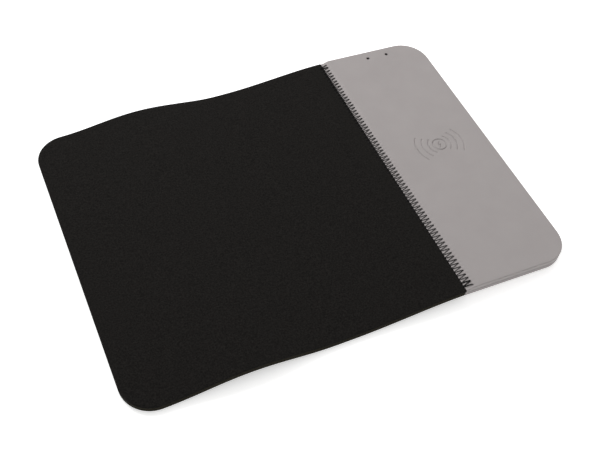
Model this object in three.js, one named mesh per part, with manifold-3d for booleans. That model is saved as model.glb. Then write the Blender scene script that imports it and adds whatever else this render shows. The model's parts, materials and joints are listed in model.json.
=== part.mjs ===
// Wireless charging mouse mat: a soft fabric-faced rubber mat with a stiff charging panel sewn to one end.
// Millimetres, +Z up. +X runs from the free end of the mat to the charging panel, +Y from the front edge
// to the back edge with the USB socket. The origin is on the ground under the middle of the object.
import * as THREE from "three";
import { mergeVertices } from "three/addons/utils/BufferGeometryUtils.js";
import Module from "manifold-3d";

const wasm = await Module();
wasm.setup();

// ---- Mat: knitted face bonded to a rubber base ----
const MAT_LENGTH = 198.5; // free end to seam
const MAT_DEPTH = 200;
const MAT_CORNER = 18.5;
const MAT_SEAM_CORNER = 1.5;
const FABRIC = 0.7;
const RUBBER = 3.6;
const BOND = 0.07; // glue line between two layers

// ---- How the soft mat lies: one low wave, a contact strip, then a rise to the seam ----
const CREST_HEIGHT = 5.3;
const CREST_AT = 68; // from the free end
const CREST_HALF_WIDTH = 51;
const LIFT_OFF = 128; // from the free end, where the mat leaves the ground again
const SEAM_RISE = 4.15; // underside of the mat at the seam

// ---- Charging panel ----
const PANEL_LENGTH = 75;
const PANEL_INSET = 0.3; // the panel is this much narrower than the mat on each side
const PANEL_CORNER = 17.7;
const PANEL_SEAM_CORNER = 0.8;
const PANEL_LIFT = 3.34; // underside of the panel at the seam; its far edge lies on the ground
const SKIN = 0.8; // leatherette
const WALL = 1; // shell roof and floor
const RIM = 1.5; // shell side wall
const SPLIT = 0.15; // gap between the two covers and between the two shells
const LIP_LENGTH = 6; // sewn lip between the seam and the stiff shells

// ---- Seam ----
const SEAM_GAP = 0.3;
const STITCH_PITCH = 2.7;
const STITCH_REACH = 5.4; // thread tips on the panel
const STITCH_MAT_REACH = 2; // thread tips on the mat
const THREAD = 0.45;
const THREAD_LIFT = 0.1;
const STITCH_END = 3.5; // first and last stitch, from the edges of the panel

// ---- Electronics ----
const COIL_OUTER = 21.5;
const COIL_INNER = 10.5;
const WIRE = 1; // one turn of the coil
const COIL_SHIFT = [1.7, 5]; // from the middle of the shells, along X and Y
const FERRITE_MARGIN = 1.5;
const FERRITE_THICKNESS = 0.7;
const BOARD_SHIFT = 1; // from the middle of the shells, along X
const BOARD_WIDTH = 40;
const BOARD_DEPTH = 33;
const BOARD_THICKNESS = 0.8;
const CHIP_HEIGHT = 0.85;
const TALL_PART_HEIGHT = 1.1; // capacitors and inductor
const SOCKET = { width: 7.5, depth: 5.1, height: 2.5, wall: 0.3 };
const SOCKET_RECESS = 0.7; // mouth of the socket, in from the edge of the panel
const BEZEL_WALL = 0.9;
const LED_SPACING = 14.4;
const LED_FROM_EDGE = 6.3;
const LED = { width: 1.6, depth: 0.8, height: 0.5 };
const PIPE_RADIUS = 0.9;
const PIPE_FLANGE = { reach: 0.4, height: 0.3 };
const PIPE_RECESS = 0.6;
const SCREW_RADIUS = 0.6;
const SCREW_HEAD_RADIUS = 1.4;
const SCREW_HEAD_HEIGHT = 0.5;
const SCREW_FROM_SIDE = 2.6;
const SCREW_FROM_BACK = 9; // clear of the panel's rounded corner
const BOSS_RADIUS = 2.2;
const LEAD_RADIUS = 0.4;
const RIB = 1;
const RIB_SPACING = 24;
const CLEARANCE = 0.15; // between a fitted part and what it sits in
const HOLE_CLEARANCE = 0.12; // around screws and light pipes
const SOLDER = 0.05; // between the board and what is soldered to it

const CORNER_STEPS = 10;
const ROUND_STEPS = 30;
const WAVE_STEPS = 32;
const LIP_STEPS = 3;

// ---- Sizes that follow ----
const panelDepth = MAT_DEPTH - 2 * PANEL_INSET;
const matThickness = RUBBER + BOND + FABRIC;
const boardStack = SCREW_HEAD_HEIGHT + BOARD_THICKNESS + TALL_PART_HEIGHT + 3 * CLEARANCE;
const bayHeight = Math.max(boardStack, SOCKET.height + 2 * CLEARANCE);
const shellBottom = SKIN + CLEARANCE;
const bayFloor = shellBottom + WALL;
const bayRoof = bayFloor + bayHeight;
const panelThickness = bayRoof + WALL + CLEARANCE + SKIN;
const lipThickness = SEAM_RISE + matThickness - PANEL_LIFT;
const partingHeight = panelThickness / 2;
const tilt = Math.asin(PANEL_LIFT / PANEL_LENGTH);
const shellStart = LIP_LENGTH + CLEARANCE;
const shellEnd = PANEL_LENGTH - SKIN - CLEARANCE;
const shellHalfDepth = panelDepth / 2 - SKIN - CLEARANCE;
const bayStart = shellStart + RIM;
const bayEnd = shellEnd - RIM;
const bayHalfDepth = shellHalfDepth - RIM;
const bayMiddle = (bayStart + bayEnd) / 2;
const boardMiddle = bayMiddle + BOARD_SHIFT;
const coilX = bayMiddle + COIL_SHIFT[0];
const coilY = COIL_SHIFT[1];
const boardBottom = bayFloor + SCREW_HEAD_HEIGHT + 2 * CLEARANCE;
const boardTop = boardBottom + BOARD_THICKNESS;
const boardBack = bayHalfDepth - 2 * CLEARANCE;
const boardFront = boardBack - BOARD_DEPTH;
const socketMiddle = (bayFloor + bayRoof) / 2;
const socketMouth = panelDepth / 2 - SOCKET_RECESS;
const bezelOpening = { width: SOCKET.width + 2 * CLEARANCE, height: SOCKET.height + 2 * CLEARANCE };
const bezelOuter = {
  width: bezelOpening.width + 2 * BEZEL_WALL,
  height: bezelOpening.height + BEZEL_WALL,
};
const ledY = panelDepth / 2 - LED_FROM_EDGE;
const ledTop = boardTop + SOLDER + LED.height;
const pipeHole = PIPE_RADIUS + HOLE_CLEARANCE;

// ---- Materials ----
function material(color, roughness, metalness = 0) {
  return new THREE.MeshStandardMaterial({ color, roughness, metalness, flatShading: true });
}

const knit = material(0x232122, 0.95);
const foamRubber = material(0x191918, 0.9);
const thread = material(0x111111, 0.6);
const leatherette = material(0xa09b99, 0.6);
const abs = material(0x56565a, 0.5);
const foam = material(0x2e2e30, 0.95);
const solderMask = material(0x1f5a38, 0.4);
const copper = material(0xb3662e, 0.35, 0.9);
const ferrite = material(0x2c2c2f, 0.55, 0.2);
const steel = material(0xb9bcc0, 0.3, 1);
const epoxy = material(0x1b1b1d, 0.5);
const ceramic = material(0xa98a5c, 0.5);
const lamp = material(0xe9e4cc, 0.3);
const smokedAcrylic = material(0x161616, 0.15);

// ---- Helpers ----
function solid(geometry) {
  const bare = geometry.clone();
  for (const name of Object.keys(bare.attributes)) {
    if (name !== "position") bare.deleteAttribute(name);
  }
  const merged = mergeVertices(bare, 1e-4);
  const vertProperties = merged.attributes.position.array;
  const triVerts = new Uint32Array(merged.index.array);
  return new wasm.Manifold(new wasm.Mesh({ numProp: 3, vertProperties, triVerts }));
}

function geometryOf(made) {
  const { vertProperties, triVerts } = made.getMesh();
  const geometry = new THREE.BufferGeometry();
  geometry.setAttribute("position", new THREE.BufferAttribute(new Float32Array(vertProperties), 3));
  geometry.setIndex([...triVerts]);
  return geometry;
}

function piece(group, name, made, look) {
  const mesh = new THREE.Mesh(geometryOf(made), look);
  mesh.name = name;
  group.add(mesh);
}

// A closed outline on the ground, raised from one height to another.
function prism(shape, bottom, top) {
  const settings = { depth: top - bottom, bevelEnabled: false, curveSegments: CORNER_STEPS };
  return solid(new THREE.ExtrudeGeometry(shape, settings).translate(0, 0, bottom));
}

// A side profile of [x, z] points, swept along Y between two places.
function sweep(points, front, back) {
  const shape = new THREE.Shape(points.map(([x, z]) => new THREE.Vector2(x, z)));
  const geometry = new THREE.ExtrudeGeometry(shape, { depth: back - front, bevelEnabled: false });
  return solid(geometry.rotateX(Math.PI / 2).translate(0, back, 0));
}

function block(x, y, z) {
  const [width, depth, height] = [x, y, z].map(([low, high]) => high - low);
  const [cx, cy, cz] = [x, y, z].map(([low, high]) => (low + high) / 2);
  return solid(new THREE.BoxGeometry(width, depth, height).translate(cx, cy, cz));
}

function around(middle, size) {
  return [middle - size / 2, middle + size / 2];
}

// A solid of revolution about a vertical line, from a closed profile of [radius, z] points.
function turned(profile, x, y, steps = ROUND_STEPS) {
  const points = [...profile, profile[0]].map(([r, z]) => new THREE.Vector2(r, z));
  return solid(new THREE.LatheGeometry(points, steps).rotateX(Math.PI / 2).translate(x, y, 0));
}

function disc(radius, bottom, top, x, y, steps = ROUND_STEPS) {
  const geometry = new THREE.CylinderGeometry(radius, radius, top - bottom, steps);
  return solid(geometry.rotateX(Math.PI / 2).translate(x, y, (bottom + top) / 2));
}

function roundedOutline(x0, x1, halfDepth, nearCorner, farCorner) {
  const shape = new THREE.Shape();
  const turn = Math.PI / 2;
  shape.moveTo(x0 + nearCorner, -halfDepth);
  shape.lineTo(x1 - farCorner, -halfDepth);
  shape.absarc(x1 - farCorner, -halfDepth + farCorner, farCorner, -turn, 0);
  shape.absarc(x1 - farCorner, halfDepth - farCorner, farCorner, 0, turn);
  shape.absarc(x0 + nearCorner, halfDepth - nearCorner, nearCorner, turn, 2 * turn);
  shape.absarc(x0 + nearCorner, -halfDepth + nearCorner, nearCorner, 2 * turn, 3 * turn);
  return shape;
}

function steps(count, from, to) {
  return Array.from({ length: count + 1 }, (_, i) => from + ((to - from) * i) / count);
}

// ---- Mat ----
// Height of the underside of the mat above the ground, at a distance from its free end.
function matRise(x) {
  const fromCrest = Math.min(Math.abs(x - CREST_AT) / CREST_HALF_WIDTH, 1);
  const crest = (CREST_HEIGHT * (1 + Math.cos(Math.PI * fromCrest))) / 2;
  const climbed = THREE.MathUtils.clamp((x - LIFT_OFF) / (MAT_LENGTH - LIFT_OFF), 0, 1);
  return crest + (SEAM_RISE * (1 - Math.cos(Math.PI * climbed))) / 2;
}

// A layer of the mat between two heights above its underside.
function matBand(from, to, start, end) {
  const xs = steps(WAVE_STEPS, start, end);
  const under = xs.map((x) => [x, matRise(x) + from]);
  const over = xs.map((x) => [x, matRise(x) + to]).reverse();
  return sweep([...under, ...over], -MAT_DEPTH / 2, MAT_DEPTH / 2);
}

function matLayer(from, to) {
  const matEnd = MAT_LENGTH - SEAM_GAP;
  const outline = roundedOutline(0, matEnd, MAT_DEPTH / 2, MAT_CORNER, MAT_SEAM_CORNER);
  const highest = CREST_HEIGHT + SEAM_RISE + matThickness;
  return matBand(from, to, 0, matEnd).intersect(prism(outline, -1, highest));
}

// ---- Seam thread: a zigzag whose two halves lie on the mat and on the lip of the panel ----
// A zigzag ribbon seen from above, between two tip lines, with slanted legs as wide as the thread.
function zigzag(nearTip, farTip) {
  const run = panelDepth / 2 - STITCH_END;
  const count = Math.floor(run / (STITCH_PITCH / 2));
  const reach = farTip - nearTip;
  const slant = STITCH_PITCH / 2 / Math.hypot(reach, STITCH_PITCH / 2);
  const shift = Math.min(THREAD / slant, reach / 2) / 2;
  const ys = steps(2 * count, (-count * STITCH_PITCH) / 2, (count * STITCH_PITCH) / 2);
  const middle = ys.map((y, i) => [i % 2 ? nearTip + shift : farTip - shift, y]);
  const near = middle.map(([x, y]) => new THREE.Vector2(x - shift, y)).reverse();
  const far = middle.map(([x, y]) => new THREE.Vector2(x + shift, y));
  return prism(new THREE.Shape([...far, ...near]), 0, 2 * panelThickness + CREST_HEIGHT);
}

function stitchOnMat() {
  const start = MAT_LENGTH - SEAM_GAP - STITCH_MAT_REACH;
  const end = MAT_LENGTH - SEAM_GAP;
  const low = matThickness + THREAD_LIFT;
  const surface = [start - 1, end + 1].map((x) => [x, matRise(x) + low]);
  const over = surface.map(([x, z]) => [x, z + THREAD]).reverse();
  return zigzag(start, end).intersect(sweep([...surface, ...over], -MAT_DEPTH / 2, MAT_DEPTH / 2));
}

function stitchOnPanel() {
  const top = lipProfile(0).map(([x, z]) => [x, z + THREAD_LIFT]);
  const over = top.map(([x, z]) => [x, z + THREAD]).reverse();
  const band = sweep([...top, ...over], -panelDepth / 2, panelDepth / 2);
  return zigzag(SEAM_GAP, STITCH_REACH).intersect(band);
}

// ---- Panel ----
// The top face over the lip swells smoothly from the height of the mat to the full thickness.
function lipProfile(inset) {
  return steps(LIP_STEPS, 0, LIP_LENGTH).map((x) => {
    const swell = (1 - Math.cos((Math.PI * x) / LIP_LENGTH)) / 2;
    return [x, lipThickness + (panelThickness - lipThickness) * swell - inset];
  });
}

// The whole panel as one body, pulled in on every side by an inset.
function panelBody(inset) {
  const lip = lipProfile(inset).reverse();
  const far = PANEL_LENGTH - inset;
  const side = [[0, inset], [far, inset], [far, panelThickness - inset], ...lip];
  const half = panelDepth / 2 - inset;
  const near = Math.max(PANEL_SEAM_CORNER - inset, SPLIT);
  const outline = roundedOutline(inset, far, half, near, PANEL_CORNER - inset);
  return sweep(side, -half, half).intersect(prism(outline, -1, 2 * panelThickness));
}

function across(bottom, top) {
  return block([-1, PANEL_LENGTH + 1], [-panelDepth, panelDepth], [bottom, top]);
}

function lengthwise(start, end) {
  return block([start, end], [-panelDepth, panelDepth], [-1, 2 * panelThickness]);
}

function portPocket() {
  const y = [bayHalfDepth - 1, panelDepth / 2 + 1];
  const width = around(boardMiddle, bezelOuter.width + 2 * CLEARANCE);
  return block(width, y, around(socketMiddle, bezelOuter.height + 2 * CLEARANCE));
}

function ledHoles(bottom) {
  const top = 2 * panelThickness;
  const [first, second] = ledPlaces().map((x) => disc(pipeHole, bottom, top, x, ledY));
  return first.add(second);
}

function ledPlaces() {
  return around(boardMiddle, LED_SPACING);
}

function wrap() {
  return panelBody(0).subtract(panelBody(SKIN)).subtract(portPocket());
}

function topCover() {
  return wrap()
    .intersect(across(partingHeight + SPLIT / 2, 2 * panelThickness))
    .subtract(ledHoles(partingHeight));
}

function bottomCover() {
  return wrap().intersect(across(-1, partingHeight - SPLIT / 2));
}

function lipFoam() {
  return panelBody(SKIN + CLEARANCE).intersect(lengthwise(0, LIP_LENGTH - CLEARANCE));
}

function shellBlock(bottom, top) {
  const inset = SKIN + CLEARANCE;
  const outline = roundedOutline(shellStart, shellEnd, shellHalfDepth, RIM, PANEL_CORNER - inset);
  return prism(outline, bottom, top);
}

function bottomShell() {
  return shellBlock(shellBottom, bayFloor).subtract(portPocket());
}

function boardScrewPlaces() {
  const xs = around(boardMiddle, BOARD_WIDTH - 2 * SCREW_FROM_SIDE);
  const ys = [boardFront + SCREW_FROM_SIDE, boardBack - SCREW_FROM_BACK];
  return xs.flatMap((x) => ys.map((y) => [x, y]));
}

// Cross ribs under the roof, from the front wall to the coil.
function ribs() {
  const coilFront = coilY - COIL_OUTER - FERRITE_MARGIN;
  const count = Math.floor((bayHalfDepth + coilFront) / RIB_SPACING);
  const places = steps(count, -bayHalfDepth, -bayHalfDepth + count * RIB_SPACING).slice(1);
  const x = [shellStart + 1, shellEnd - 1];
  return places.map((y) => block(x, around(y - RIB, RIB), [bayFloor + SPLIT, bayRoof + WALL / 2]));
}

// The inside of the shells, pulled in by an inset.
function bayOutline(inset) {
  const corner = PANEL_CORNER - SKIN - CLEARANCE - RIM - inset;
  return roundedOutline(bayStart + inset, bayEnd - inset, bayHalfDepth - inset, RIM, corner);
}

function topShell() {
  const roof = shellBlock(bayFloor + SPLIT, bayRoof + WALL);
  let shell = roof.subtract(prism(bayOutline(0), 0, bayRoof));
  for (const rib of ribs()) shell = shell.add(rib);
  for (const [x, y] of boardScrewPlaces()) {
    shell = shell.add(disc(BOSS_RADIUS, boardTop + CLEARANCE, bayRoof + WALL / 2, x, y));
    shell = shell.subtract(disc(SCREW_RADIUS + HOLE_CLEARANCE, 0, bayRoof + CLEARANCE, x, y));
  }
  return shell.subtract(ledHoles(bayRoof - 1)).subtract(portPocket());
}

// ---- Coil ----
// One flat layer of round wire: the ring is scalloped where turn meets turn.
function chargingCoil() {
  const turns = Math.floor((COIL_OUTER - COIL_INNER) / WIRE);
  const top = bayRoof - CLEARANCE;
  const radii = steps(2 * turns, COIL_INNER, COIL_OUTER);
  const height = (i) => (i % 2 ? WIRE / 2 : WIRE / 5);
  const under = radii.map((r, i) => [r, top - WIRE / 2 - height(i)]);
  const over = radii.map((r, i) => [r, top - WIRE / 2 + height(i)]).reverse();
  return turned([...under, ...over], coilX, coilY);
}

function ferriteShield() {
  const top = bayRoof - CLEARANCE - WIRE - CLEARANCE;
  return disc(COIL_OUTER + FERRITE_MARGIN, top - FERRITE_THICKNESS, top, coilX, coilY);
}

function coilFoamPad() {
  const top = bayRoof - 3 * CLEARANCE - WIRE - FERRITE_THICKNESS;
  return disc(COIL_OUTER, bayFloor + CLEARANCE, top, coilX, coilY);
}

// A lead from the rim of the coil, under the roof, down to its pad on the board.
function coilLead(side) {
  const high = bayRoof - CLEARANCE - WIRE / 2;
  const low = boardTop + LEAD_RADIUS + CLEARANCE;
  const start = coilY + COIL_OUTER + LEAD_RADIUS + CLEARANCE;
  const x = coilX + 2 * side * LEAD_RADIUS;
  const points = [
    new THREE.Vector3(x, start, high),
    new THREE.Vector3(x + side, start + 5, high),
    new THREE.Vector3(x + 3 * side, boardFront - 6, low),
    new THREE.Vector3(x + 4 * side, boardFront, low),
    new THREE.Vector3(x + 4 * side, boardFront + 4, low),
  ];
  const section = new THREE.Shape().absarc(0, 0, LEAD_RADIUS, 0, 2 * Math.PI);
  const extrudePath = new THREE.CatmullRomCurve3(points);
  return solid(new THREE.ExtrudeGeometry(section, { extrudePath, steps: 16, curveSegments: 8 }));
}

// ---- Board ----
function circuitBoard() {
  const y = [boardFront, boardBack];
  const room = prism(bayOutline(2 * CLEARANCE), boardBottom, boardTop);
  let board = block(around(boardMiddle, BOARD_WIDTH), y, [boardBottom, boardTop]).intersect(room);
  const notch = around(boardMiddle, SOCKET.width + 2 * CLEARANCE);
  const notchFront = socketMouth - SOCKET.depth - CLEARANCE;
  board = board.subtract(block(notch, [notchFront, boardBack + 1], [0, panelThickness]));
  for (const [x, y] of boardScrewPlaces()) {
    board = board.subtract(disc(SCREW_RADIUS + HOLE_CLEARANCE, 0, panelThickness, x, y));
  }
  return board;
}

// A part soldered to the top of the board: place from the middle of its front edge, and size.
function onBoard(dx, dy, [width, depth, height]) {
  const bottom = boardTop + SOLDER;
  const x = around(boardMiddle + dx, width);
  return block(x, around(boardFront + dy, depth), [bottom, bottom + height]);
}

function boardScrew(x, y) {
  const head = boardBottom - CLEARANCE;
  const tip = bayRoof - CLEARANCE;
  const profile = [
    [0, head - SCREW_HEAD_HEIGHT],
    [SCREW_HEAD_RADIUS, head - SCREW_HEAD_HEIGHT],
    [SCREW_HEAD_RADIUS, head],
    [SCREW_RADIUS, head],
    [SCREW_RADIUS, tip - SCREW_RADIUS],
    [0, tip],
  ];
  const length = 1.6 * SCREW_HEAD_RADIUS;
  const width = SCREW_HEAD_RADIUS / 4;
  const depth = around(head - SCREW_HEAD_HEIGHT, SCREW_HEAD_HEIGHT);
  const cross = block(around(x, length), around(y, width), depth);
  const otherCross = block(around(x, width), around(y, length), depth);
  return turned(profile, x, y, 16).subtract(cross).subtract(otherCross);
}

// ---- USB socket and its surround ----
function socketShell() {
  const y = [socketMouth - SOCKET.depth, socketMouth];
  const z = around(socketMiddle, SOCKET.height);
  const inside = block(
    around(boardMiddle, SOCKET.width - 2 * SOCKET.wall),
    [y[0] + SOCKET.wall, y[1] + 1],
    around(socketMiddle, SOCKET.height - 2 * SOCKET.wall),
  );
  return block(around(boardMiddle, SOCKET.width), y, z).subtract(inside);
}

function socketTongue() {
  const back = socketMouth - SOCKET.depth + SOCKET.wall + CLEARANCE;
  const innerWidth = SOCKET.width - 2 * SOCKET.wall - 2 * CLEARANCE;
  const innerHeight = SOCKET.height - 2 * SOCKET.wall - 2 * CLEARANCE;
  const root = block(
    around(boardMiddle, innerWidth),
    [back, back + 1],
    around(socketMiddle, innerHeight),
  );
  const tongue = block(
    around(boardMiddle, 0.55 * SOCKET.width),
    [back, socketMouth - 0.6],
    around(socketMiddle, innerHeight / 3),
  );
  return root.add(tongue);
}

function portBezel() {
  const y = [bayHalfDepth + CLEARANCE, panelDepth / 2];
  const z = around(socketMiddle, bezelOuter.height);
  const opening = around(boardMiddle, bezelOpening.width);
  const hole = block(opening, [0, panelDepth], around(socketMiddle, bezelOpening.height));
  return block(around(boardMiddle, bezelOuter.width), y, z).subtract(hole);
}

// ---- Status lights ----
function statusLed(x) {
  return block(around(x, LED.width), around(ledY, LED.depth), [boardTop + SOLDER, ledTop]);
}

// A light pipe stands just over its light, with a flange that stops it under the roof.
function lightPipe(x) {
  const foot = ledTop + CLEARANCE;
  const top = panelThickness - PIPE_RECESS;
  const shoulder = bayRoof - CLEARANCE;
  const flange = PIPE_RADIUS + PIPE_FLANGE.reach;
  const profile = [
    [0, foot],
    [PIPE_RADIUS, foot],
    [PIPE_RADIUS, shoulder - PIPE_FLANGE.height],
    [flange, shoulder - PIPE_FLANGE.height],
    [flange, shoulder],
    [PIPE_RADIUS, shoulder],
    [PIPE_RADIUS, top],
    [0, top],
  ];
  return turned(profile, x, ledY, 20);
}

// ---- Assembly ----
function buildMat(group) {
  piece(group, "mat_rubber_base", matLayer(0, RUBBER), foamRubber);
  piece(group, "mat_fabric", matLayer(RUBBER + BOND, matThickness), knit);
  piece(group, "seam_stitch_mat_side", stitchOnMat(), thread);
}

function buildPanel(group) {
  piece(group, "seam_stitch_panel_side", stitchOnPanel(), thread);
  piece(group, "panel_top_cover", topCover(), leatherette);
  piece(group, "panel_bottom_cover", bottomCover(), leatherette);
  piece(group, "panel_lip_foam", lipFoam(), foam);
  piece(group, "top_shell", topShell(), abs);
  piece(group, "bottom_shell", bottomShell(), abs);
  piece(group, "port_bezel", portBezel(), abs);
}

function buildCharger(group) {
  piece(group, "charging_coil", chargingCoil(), copper);
  piece(group, "ferrite_shield", ferriteShield(), ferrite);
  piece(group, "coil_foam_pad", coilFoamPad(), foam);
  piece(group, "coil_lead_1", coilLead(-1), copper);
  piece(group, "coil_lead_2", coilLead(1), copper);
  piece(group, "circuit_board", circuitBoard(), solderMask);
  piece(group, "usb_socket_shell", socketShell(), steel);
  piece(group, "usb_socket_tongue", socketTongue(), epoxy);
  piece(group, "controller_chip", onBoard(-10, 20, [5, 5, CHIP_HEIGHT]), epoxy);
  piece(group, "driver_chip", onBoard(9, 19, [4, 4, CHIP_HEIGHT]), epoxy);
  piece(group, "power_inductor", onBoard(14, 11, [4, 4, TALL_PART_HEIGHT]), ferrite);
  [-12, -8, 5, 9].forEach((dx, i) => {
    const capacitor = onBoard(dx, 11, [2.5, 3.2, TALL_PART_HEIGHT]);
    piece(group, `resonant_capacitor_${i + 1}`, capacitor, ceramic);
  });
  ledPlaces().forEach((x, i) => {
    piece(group, `status_led_${i + 1}`, statusLed(x), lamp);
    piece(group, `light_pipe_${i + 1}`, lightPipe(x), smokedAcrylic);
  });
  boardScrewPlaces().forEach(([x, y], i) => {
    piece(group, `board_screw_${i + 1}`, boardScrew(x, y), steel);
  });
}

const panel = new THREE.Group();
panel.position.set(MAT_LENGTH, 0, PANEL_LIFT);
panel.rotation.y = tilt;
buildPanel(panel);
buildCharger(panel);

const chargingMat = new THREE.Group();
buildMat(chargingMat);
chargingMat.add(panel);
const reach = MAT_LENGTH + PANEL_LENGTH * Math.cos(tilt) + panelThickness * Math.sin(tilt);
chargingMat.position.x = -reach / 2;

export default chargingMat;
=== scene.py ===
import json
import math

import bmesh
import bpy
import numpy as np
from mathutils import Matrix, Vector


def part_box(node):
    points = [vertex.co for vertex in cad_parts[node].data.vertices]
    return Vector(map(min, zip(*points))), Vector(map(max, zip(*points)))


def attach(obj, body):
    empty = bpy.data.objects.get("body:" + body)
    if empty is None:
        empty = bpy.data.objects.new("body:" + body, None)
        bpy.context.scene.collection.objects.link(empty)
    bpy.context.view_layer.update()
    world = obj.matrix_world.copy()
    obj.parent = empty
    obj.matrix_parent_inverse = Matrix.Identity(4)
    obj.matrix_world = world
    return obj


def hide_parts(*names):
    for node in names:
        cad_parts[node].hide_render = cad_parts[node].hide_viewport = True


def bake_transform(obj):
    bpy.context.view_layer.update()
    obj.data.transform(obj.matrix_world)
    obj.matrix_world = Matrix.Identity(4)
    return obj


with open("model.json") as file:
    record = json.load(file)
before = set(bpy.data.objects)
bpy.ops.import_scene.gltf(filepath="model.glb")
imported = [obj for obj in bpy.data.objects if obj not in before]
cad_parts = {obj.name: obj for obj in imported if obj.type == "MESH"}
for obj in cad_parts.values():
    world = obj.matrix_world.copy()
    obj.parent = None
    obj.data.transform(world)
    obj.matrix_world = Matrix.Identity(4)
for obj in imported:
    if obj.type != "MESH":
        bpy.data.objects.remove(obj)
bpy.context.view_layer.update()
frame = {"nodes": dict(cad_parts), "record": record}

# A soft black mouse mat sewn along one end to a grey leatherette charging panel.
# The mat, the covers and the thread are made here; the parts inside the panel keep their shapes.

MM = 0.001

# ---- Sizes ----
FABRIC = 0.7 * MM
BOND = 0.07 * MM  # glue between the fabric and the rubber
SKIN = 0.8 * MM  # leatherette
SEAM_GAP = 0.3 * MM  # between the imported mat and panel
SEAM_SHIFT = 0.75 * MM  # the mat's edge and the covers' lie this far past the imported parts' edges
SEAM_PULL = 0.4  # share of a rim's inset that its edge at the seam takes
MAT_CORNER = 18.5 * MM
MAT_SEAM_CORNER = 0.7 * MM
CREST_HEIGHT = 4.85 * MM  # the mat lies in one low wave
CREST_AT = 68 * MM  # from the free end
CREST_HALF_WIDTH = 51 * MM
BACK_LIFT = 0.9 * MM  # the back edge of the wave lies this much higher than the front one
LIFT_FADES = (96 * MM, 126 * MM)  # from the free end
LIFT_OFF = 128 * MM  # from the free end: here the mat starts to climb to the seam
SEAM_RISE = 4.15 * MM
UNEVEN = 0.12 * MM  # how far the soft mat strays from its even wave
SLOW_SWELL = (23 * MM, 31 * MM)  # one swell is 2 pi of these, along and across the mat
QUICK_SWELL = (9 * MM, 13 * MM)
SWELL_SWAY = 26 * MM
EVEN_BY_SEAM = 20 * MM  # the swells die out over this length before the seam
PANEL_LENGTH = 75 * MM
PANEL_INSET = 0.3 * MM
PANEL_CORNER = 17.7 * MM
PANEL_SEAM_CORNER = 0.35 * MM
LIP_LENGTH = 6 * MM  # the thin strip of the panel that is sewn
COVER_EDGE = 0.45 * MM  # radius of the wrapped top edge
SPLIT = 0.15 * MM  # open parting line between the two covers
INNER_INSET = 1.4 * SKIN  # where a cover's inner face starts
INNER_DROP = 1.6 * SKIN  # the inner side ends this far below the face
STITCH_PITCH = 2.7 * MM
STITCH_REACH = 5.35 * MM  # needle holes in the panel, half way along the seam
STITCH_DRIFT = 1.15 * MM  # the stitching runs out this much further onto the panel at the front
STITCH_WIDTH = 6.6 * MM
STITCH_COUNT = 72
FIRST_STITCH = -97.9 * MM  # the front one
STITCH_SLIP = 0.1 * MM  # how far a needle hole strays from its place
TACK_SLIP = 0.3 * MM
TACK_HEIGHT = 1.6  # in thread radii: a stitch sewn again lies on the first one
FABRIC_LAP = 0.3 * MM  # the stitches pull the cut edge of the fabric over the covers'
LAP_DRIFT = 0.2 * MM  # the mat's edge lies this much further over at the front, and less at the back
LAP_FADES = 30 * MM
THREAD_RADIUS = 0.22 * MM
THREAD_SIDES = 8
PLY_TURN = 1.5 * MM  # lay length of the twisted plies
PLY_LOBE = 0.16  # share of the radius that comes and goes as the plies turn
THREAD_DIP = 0.6 * MM  # how far the thread goes down at a needle hole
THREAD_BOW = 0.14  # share of a stitch in which the thread comes up out of its hole
SEAM_STEP = 0.5 * MM  # over which the thread passes from the mat's face to the panel's
BACK_TACKS = 2  # at most this many zigzags are sewn again at each end of the seam
FABRIC_TOP = 4.37 * MM  # above the underside of the mat
FACE_EDGE = 0.35 * MM  # radius of the cut edge of the fabric
TURN_RADIUS = 0.35 * MM  # where a cover turns under at the parting line
TURN_INSET = 0.1 * MM  # of the middle of that turn
LOWER_EDGE = 0.9 * MM  # radius of the panel's bottom edge
BEZEL_HEIGHT = 3.7 * MM
BEZEL_PLAY = (0.1 * MM, 0.15 * MM)  # beside it, and above and below it
GRIP_PITCH = 3.4 * MM
GRIP_DEPTH = 0.18 * MM
LINE_WIDTH = 0.75 * MM  # lines of the pressed symbol
LINE_DEPTH = 0.45 * MM
LINE_SHOULDER = 0.35 * MM
RING_RADIUS = 4.5 * MM
ARCS = [(7.7 * MM, math.radians(48)), (11.8 * MM, math.radians(40)), (16.2 * MM, math.radians(36))]
BOLT = [(0.7 * MM, 2.1 * MM), (-0.7 * MM, 0.1 * MM), (0.7 * MM, -0.1 * MM), (-0.7 * MM, -2.1 * MM)]
BOLT_WIDTH = 0.5 * MM
SYMBOL_STEP = 0.33 * MM  # between grid lines under the symbol
SYMBOL_SPREAD = 0.66  # across the panel, as a share of its reach along it
FIRST_COLUMN = 1.5 * MM  # of a cover's grid, from its edge at the seam
LIP_STEP = 0.65 * MM  # between grid lines by the stitches
PAST_LIP = 3.5 * MM  # how far those go on past the lip
LINES_APART = (0.1 * MM, 0.2 * MM)  # least room along and across between two sets of grid lines
TURNS_APART = 0.04
PUCKER_DEPTH = 0.3 * MM
PUCKER_RADIUS = 0.9 * MM
PUCKER_STRETCH = 0.8  # below 1, a dimple is longer across the seam
LEG_DEPTH = 0.08 * MM  # how far a tight thread sinks into the leatherette
LEG_WIDTH = 0.5 * MM
LIGHT_HOLE = 1.15 * MM  # radius
HOLE_SIDES = 24

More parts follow.
